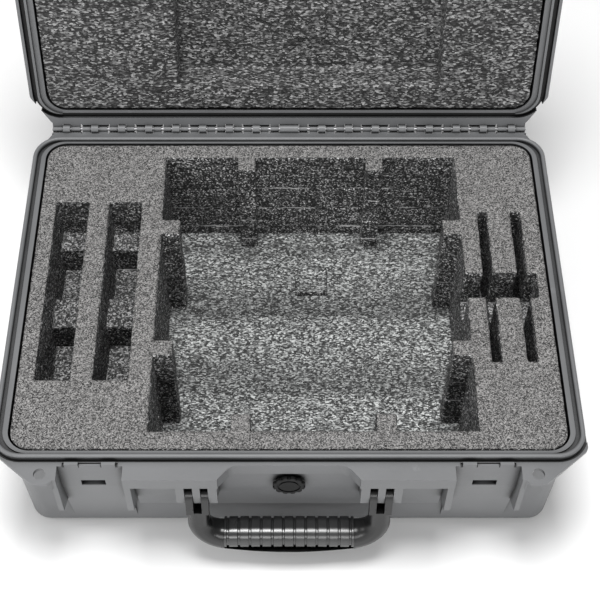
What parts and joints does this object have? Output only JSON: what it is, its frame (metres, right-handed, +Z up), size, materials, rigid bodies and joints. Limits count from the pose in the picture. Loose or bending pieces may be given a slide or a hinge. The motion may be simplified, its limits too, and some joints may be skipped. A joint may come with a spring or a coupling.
{
  "type": "hard equipment case",
  "caption": "Hard moulded equipment case with hinged sealed lid, latches, carrying handle, pressure valve and cut foam, drawn open.",
  "frame": {"origin": "centre of the base's underside, below the centre of the rim", "axes": "+Z up, +Y towards the hinge, +X along the hinge to the right as seen from the handle"},
  "size_m": [0.5428, 0.5864, 0.5971],
  "materials": {
    "shell": "fine moulded grain",
    "handle": "satin",
    "valve": "satin",
    "grip": "soft matte",
    "seal": "soft matte",
    "foam": "cut cellular foam",
    "lid_foam": "cut cellular foam",
    "steel": "plain"
  },
  "bodies": {
    "base": {"base_shell": "shell", "base_foam_floor": "foam", "base_foam_bottom": "foam", "base_foam_lower": "foam", "base_foam_middle_left": "foam", "base_foam_middle_centre": "foam", "base_foam_middle_bar": "foam", "base_foam_middle_slot": "foam", "base_foam_middle_right": "foam", "base_foam_middle_outer": "foam", "base_foam_top_left": "foam", "base_foam_top_centre": "foam", "base_foam_top_bar": "foam", "base_foam_top_slot": "foam", "base_foam_top_right": "foam", "base_foam_top_outer": "foam", "base_foam_block": "foam", "hinge_rods": "steel", "handle_pins": "steel", "valve_body": "handle", "valve_seal": "seal", "valve_membrane": "seal", "valve_cap": "valve"},
    "lid": {"lid_shell": "shell", "lid_gasket": "seal", "lid_foam_frame": "lid_foam", "lid_foam_backing": "lid_foam", "lid_foam_block": "lid_foam", "latch_pins": "steel"},
    "handle": {"handle_frame": "handle", "handle_grip": "grip"},
    "latch_left": {"latch_lever_left": "handle", "latch_spring_left": "steel"},
    "button_left": {"latch_button_left": "valve"},
    "latch_right": {"latch_lever_right": "handle", "latch_spring_right": "steel"},
    "button_right": {"latch_button_right": "valve"}
  },
  "joints": [
    {"name": "lid_hinge", "type": "hinge", "parent": "base", "child": "lid", "pos_m": [0, 0.2065, 0.143], "axis": [1, 0, 0], "range_deg": [0, 102.8]},
    {"name": "handle_pivot", "type": "hinge", "parent": "base", "child": "handle", "pos_m": [0, -0.205, 0.1035], "axis": [-1, 0, 0], "range_deg": [0, 95]},
    {"name": "latch_left_pivot", "type": "hinge", "parent": "lid", "child": "latch_left", "pos_m": [-0.178, 0.3097, 0.54308], "axis": [1, 0, 0], "range_deg": [0, 75]},
    {"name": "latch_left_button", "type": "slide", "parent": "latch_left", "child": "button_left", "axis": [0, -0.9993, -0.0384], "range_m": [0, 0.0022], "stiffness_N_per_m": 400},
    {"name": "latch_right_pivot", "type": "hinge", "parent": "lid", "child": "latch_right", "pos_m": [0.178, 0.3097, 0.54308], "axis": [1, 0, 0], "range_deg": [0, 75]},
    {"name": "latch_right_button", "type": "slide", "parent": "latch_right", "child": "button_right", "axis": [0, -0.9993, -0.0384], "range_m": [0, 0.0022], "stiffness_N_per_m": 400}
  ]
}
